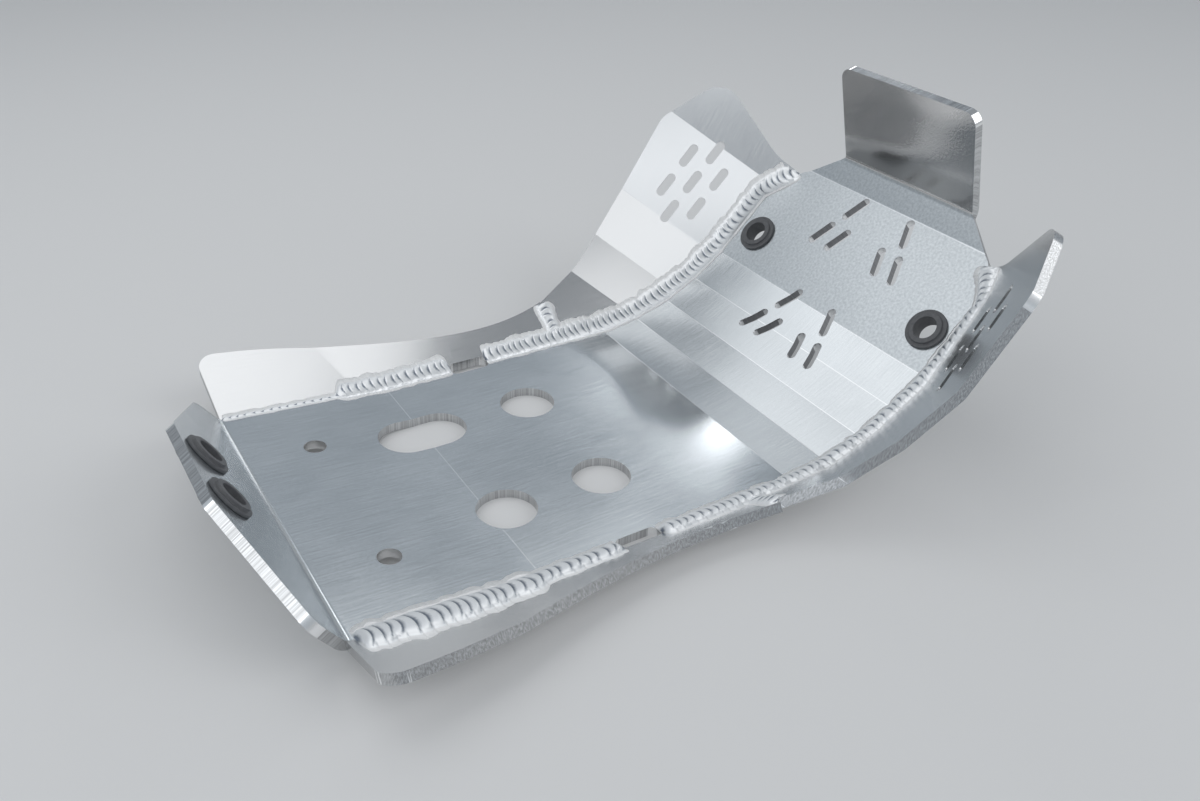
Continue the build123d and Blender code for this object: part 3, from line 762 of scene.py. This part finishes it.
def crest_at(phase, convex_ahead):
    """Height share of a ripple: a step up from the valley, then a gentle slope down again."""
    part = phase % 1
    if convex_ahead:
        part = 1 - part
    if part < RISE_SHARE:
        return sin(pi / 2 * part / RISE_SHARE) ** RISE_POWER
    return 1 - FALL_DEPTH * ((part - RISE_SHARE) / (1 - RISE_SHARE)) ** FALL_POWER


def blend(value, low, high):
    """0 below low, 1 above high, and smooth between."""
    share = min(max((value - low) / (high - low), 0.0), 1.0)
    return share * share * (3 - 2 * share)


def eased(values, phase):
    """Value of a list at a whole or broken place, smooth from one to the next."""
    index = min(int(phase), len(values) - 1)
    following = values[min(index + 1, len(values) - 1)]
    part = phase - index
    return values[index] + (following - values[index]) * (3 - 2 * part) * part ** 2


def bead(name, side, nodes, lower, upper, place, start, end, pitch, shape, seed, bow,
         ripple=0.26, valley_shade_fade=2.0):
    """Rippled bead with an etched border, as a piece in place of CAD nodes.

    It lies between a lower and an upper surface, along place(distance, side). shape(distance)
    gives its reach over the lower and the upper surface, its swell and its two borders. bow is
    the crescents' depth, ripple their height share, and the last argument how fast the painted
    shade in the valleys fades sideways.
    """
    rng = random.Random(seed)
    marks = [start]
    while marks[-1] < end:
        marks.append(marks[-1] + pitch * rng.uniform(*PITCH_SCATTER))
    scale = (end - start) / (marks[-1] - start)
    marks = [start + (mark - start) * scale for mark in marks]
    tall = [rng.uniform(*HEIGHT_SCATTER) for _ in marks]
    wide = [rng.uniform(*WIDTH_SCATTER) for _ in marks]
    lean = [rng.uniform(*LEAN_SCATTER) for _ in marks]
    arcs = [rng.uniform(*ARC_SCATTER) for _ in marks]
    frost = [(rng.uniform(*FROST_SCATTER), rng.uniform(*FROST_SCATTER)) for _ in marks]
    frost_lower, frost_upper = zip(*frost)

    def phase_at(distance):
        index = 0
        while index < len(marks) - 2 and marks[index + 1] <= distance:
            index += 1
        return index + (distance - marks[index]) / (marks[index + 1] - marks[index])

    mesh = bmesh.new()
    valley_shades = []
    rings = []
    count = (len(marks) - 1) * SAMPLES
    for row in range(count + 1):
        distance = start + (end - start) * row / count
        origin, outward, up, along = place(distance, side)
        over_lower, over_upper, swell, border_lower, border_upper = shape(distance)
        phase = phase_at(distance)
        tip = min((distance - start) / pitch, (end - distance) / pitch, 1.0)
        taper = sqrt(max(0.0, 1 - (1 - tip) ** 2)) * (1 - TIP_LEAST) + TIP_LEAST
        crest = crest_at(phase, bow > 0)
        width = eased(wide, phase) * (1 - WIDTH_RIPPLE + WIDTH_RIPPLE * crest)
        width *= 1 - TIP_NARROWING + TIP_NARROWING * taper
        near = over_lower * width
        far = over_upper * width
        near_edge = near + border_lower * eased(frost_lower, phase)
        far_edge = far + border_upper * eased(frost_upper, phase)
        inner = drop_on(lower, origin - outward * near, up)
        outer = along_surface(upper, origin, outward, up, far)
        chord = outer - inner
        off = along.cross(chord).normalized()
        if off.dot(up) < 0:
            off = -off
        edge_in = drop_on(lower, origin - outward * near_edge, up)
        edge_out = along_surface(upper, origin, outward, up, far_edge)
        ring = [edge_in - off * SINK, edge_in + off * LIFT * BORDER_LIFT, inner + off * LIFT]
        depth = [0.0] * len(ring)
        for column in range(1, ACROSS):
            v = column / ACROSS
            arch = 4 * v * (1 - v)
            shift = bow * eased(arcs, phase) * pitch * (1 - arch)
            shift += eased(lean, phase) * pitch * (2 * v - 1)
            here = phase_at(min(max(distance + shift, start), end))
            crest = crest_at(here, bow > 0)
            height = swell * eased(tall, here) * arch ** ARCH_POWER * taper
            height *= 1 - ripple + ripple * crest
            ring.append(inner + chord * v + off * (height + LIFT))
            # Painted shade: how dark the weld is painted in the valley behind each crest, fading
            # sideways
            depth.append((1 - crest) ** 2 * arch ** valley_shade_fade)
        ring += [outer + off * LIFT, edge_out + off * LIFT * BORDER_LIFT, edge_out - off * SINK]
        ring.append((inner + outer) / 2 - off * ROOT)
        depth += [0.0] * (len(ring) - len(depth))
        for point in ring:
            point.z = max(point.z, 0.0)
        rings.append([mesh.verts.new(point) for point in ring])
        valley_shades += depth
    size = len(rings[0])
    for ring, following in zip(rings, rings[1:]):
        for column in range(size):
            after = (column + 1) % size
            face = mesh.faces.new((ring[column], ring[after], following[after],
                                   following[column]))
            # A ring has two points of border, the bead, two points of border and its root
            is_metal = 2 <= column < size - 4
            face.material_index = METAL_INDEX if is_metal else BORDER_INDEX
    mesh.faces.new(list(reversed(rings[0])))
    mesh.faces.new(rings[-1])
    bmesh.ops.recalc_face_normals(mesh, faces=mesh.faces)
    data = bpy.data.meshes.new(name)
    mesh.to_mesh(data)
    mesh.free()
    # The valleys' painted shade, which the weld's colour ramp turns dark
    attribute = data.attributes.new("valley", "FLOAT", "POINT")
    attribute.data.foreach_set("value", valley_shades)
    smooth_shading(data)
    data.materials.append(weld_metal)
    data.materials.append(etched)
    return finish_piece(new_object(name, data), name, nodes)


NOTCH_BACK = -BELLY_FLAT + NOTCH_FROM_FOLD
NOTCH_FRONT = NOTCH_BACK + NOTCH_LENGTH
BEAD_END = chin_start + NECK_START + NECK_RUN.length
SEAM_START = rear_start + 1 * MM
SEAM_END = rear_start + 62 * MM
WIDE_START = rear_start + 3 * MM
WIDE_END = rear_start + 61 * MM
SMOOTH_END = rear_start + 86 * MM
CROSS_START = 3 * MM
CROSS_END = 26 * MM
PITCH = 4.2 * MM
WIDE_PITCH = 4.8 * MM


def section(over_lower, over_upper, swell, border_lower, border_upper):
    """Sizes of a bead, given in millimetres, in the order that bead() takes."""
    return (over_lower * MM, over_upper * MM, swell * MM, border_lower * MM, border_upper * MM)


def far_shape(_):
    """An ordinary bead, low and broad."""
    return section(over_lower=3.4, over_upper=8.4, swell=1.5, border_lower=1.8, border_upper=2.4)


def near_shape(_):
    """The fuller bead on the right."""
    return section(over_lower=4.6, over_upper=8.8, swell=2.4, border_lower=2.2, border_upper=2.4)


def seam_shape(distance):
    """A thin flat seam that grows into a bead."""
    grown = blend(distance, SEAM_END - 3 * MM, SEAM_END + 3 * MM)
    return section(over_lower=1.2 + 2.4 * grown, over_upper=1.5 + 6.5 * grown,
                   swell=0.25 + 1.4 * grown,
                   border_lower=1.1 + 0.9 * grown, border_upper=1.6 + 1.0 * grown)


def wide_shape(distance):
    """A wide coarse bead that narrows over a smooth stretch to an ordinary one."""
    slim = blend(distance, WIDE_END - 4 * MM, WIDE_END + 10 * MM)
    small = blend(distance, SMOOTH_END - 8 * MM, SMOOTH_END + 4 * MM)
    return section(over_lower=4.2 + 0.4 * small, over_upper=15.5 - 3.0 * slim - 3.5 * small,
                   swell=2.6 - 0.2 * slim,
                   border_lower=3.8 - 1.6 * small, border_upper=4.4 - 2.0 * small)


def cross_shape(_):
    """A short bead over the joint between two wings."""
    return section(over_lower=4.2, over_upper=4.2, swell=1.5, border_lower=2.0, border_upper=2.0)


FRONT_SHAPES = {LEFT: far_shape, RIGHT: near_shape}
FRONT_SEED = 11
FRONT_BOW = -0.6
CROSS_SEED = 31
CROSS_BOW = 0.4
REAR_BEADS = {LEFT: {"start": SEAM_START, "pitch": PITCH, "shape": seam_shape, "seed": 41,
                     "bow": -0.5},
              RIGHT: {"start": WIDE_START, "pitch": WIDE_PITCH, "shape": wide_shape, "seed": 42,
                      "bow": 0.5, "ripple": 0.32, "valley_shade_fade": 0.7}}
plate = surface_of(*PLATE_NODES)
for side, side_name in SIDES:
    wing_nodes = [f"{side_name}_front_wing", f"{side_name}_rear_wing"]
    front_wing, rear_wing = surface_of(wing_nodes[0]), surface_of(wing_nodes[1])
    front_weld = [f"{side_name}_front_weld"]
    bead(f"{side_name}_front_bead", side, front_weld, plate, surface_of(*wing_nodes), edge_frame,
         NOTCH_FRONT, BEAD_END, PITCH, FRONT_SHAPES[side], FRONT_SEED + side, FRONT_BOW * side)
    bead(f"{side_name}_cross_bead", side, front_weld, rear_wing, front_wing, joint_frame,
         CROSS_START, CROSS_END, PITCH, cross_shape, CROSS_SEED + side, CROSS_BOW)
    bead(f"{side_name}_rear_bead", side, [f"{side_name}_rear_weld"], plate, rear_wing, edge_frame,
         end=NOTCH_BACK, **REAR_BEADS[side])


# Floor, lights, world and camera, in metres
FLOOR_HALF = 20.0
floor_mesh = bpy.data.meshes.new("floor")
floor_mesh.from_pydata([(-FLOOR_HALF, -FLOOR_HALF, 0), (FLOOR_HALF, -FLOOR_HALF, 0),
                        (FLOOR_HALF, FLOOR_HALF, 0), (-FLOOR_HALF, FLOOR_HALF, 0)],
                       [], [(0, 1, 2, 3)])
floor_mesh.materials.append(floor_material())
floor = new_object("floor", floor_mesh)
LEFTWARD = Vector((0, 1, 0))
UPWARD = Vector((0, 0, 1))
FOLD_STREAK = Vector((0.19, 0.98, 0))


def softbox(name, location, width, height, brightness, along=LEFTWARD):
    """Area light that faces the middle of the object, its width along a line.

    Its brightness is what a mirror shows of it.
    """
    light = bpy.data.lights.new(name, "AREA")
    light.shape = "RECTANGLE"
    light.size = width
    light.size_y = height
    light.energy = brightness * pi * width * height
    place = Vector(location)
    back = place.normalized()
    across = back.cross(along).normalized()
    axes = Matrix((across.cross(back), across, back)).transposed()
    new_object(name, light).matrix_world = Matrix.LocRotScale(place, axes, None)


softbox("overhead_box", (-0.16, 0.47, 1.06), 0.86, 1.16, brightness=0.88)
softbox("step_box", (0.60, 0.74, 1.0), 0.30, 0.22, brightness=0.5)
softbox("streak_box", (1.12, 1.37, 1.0), 0.46, 0.16, brightness=3.0, along=FOLD_STREAK)
softbox("camera_high_box", (-0.12, -0.83, 1.25), 0.50, 0.80, brightness=0.86)
softbox("camera_low_box", (-0.77, -1.19, 1.05), 0.36, 0.9, brightness=0.82, along=UPWARD)
softbox("rear_fill", (-1.25, -0.15, 1.05), 1.2, 0.9, brightness=1.2)
softbox("front_fill", (1.35, -1.10, 1.20), 1.5, 1.5, brightness=1.35)

# World colours by height: paler near the floor and where the plate's flats mirror, dark overhead
SKY_COLOURS = [(0.0, (0.46, 0.47, 0.48)), (0.25, (0.36, 0.39, 0.42)), (0.56, (0.42, 0.46, 0.50)),
               (0.8, (0.26, 0.28, 0.30)), (1.0, (0.26, 0.28, 0.30))]
world = bpy.data.worlds.new("studio")
world.use_nodes = True
sky = Graph(world.node_tree)
height_of = sky.nodes.new("ShaderNodeSeparateXYZ")
sky.feed(sky.nodes.new("ShaderNodeTexCoord").outputs["Generated"], height_of.inputs[0])
sky_colour = sky.ramp(height_of.outputs["Z"], SKY_COLOURS)
sky.feed(sky_colour, sky.nodes["Background"].inputs["Color"])
bpy.context.scene.world = world
bpy.context.scene.view_settings.view_transform = "Standard"

# Camera as solved from the photo
CAMERA_PLACE = (-0.23902, -0.38433, 0.31292)
CAMERA_TURN = (57.488, -2.044, -31.966)
CAMERA_SENSOR = 36.0
CAMERA_LENS = 31.81
camera_data = bpy.data.cameras.new("camera")
camera_data.sensor_width = CAMERA_SENSOR
camera_data.lens = CAMERA_LENS
camera = new_object("camera", camera_data)
camera.location = CAMERA_PLACE
camera.rotation_euler = Euler([radians(angle) for angle in CAMERA_TURN], "XYZ")
bpy.context.scene.camera = camera
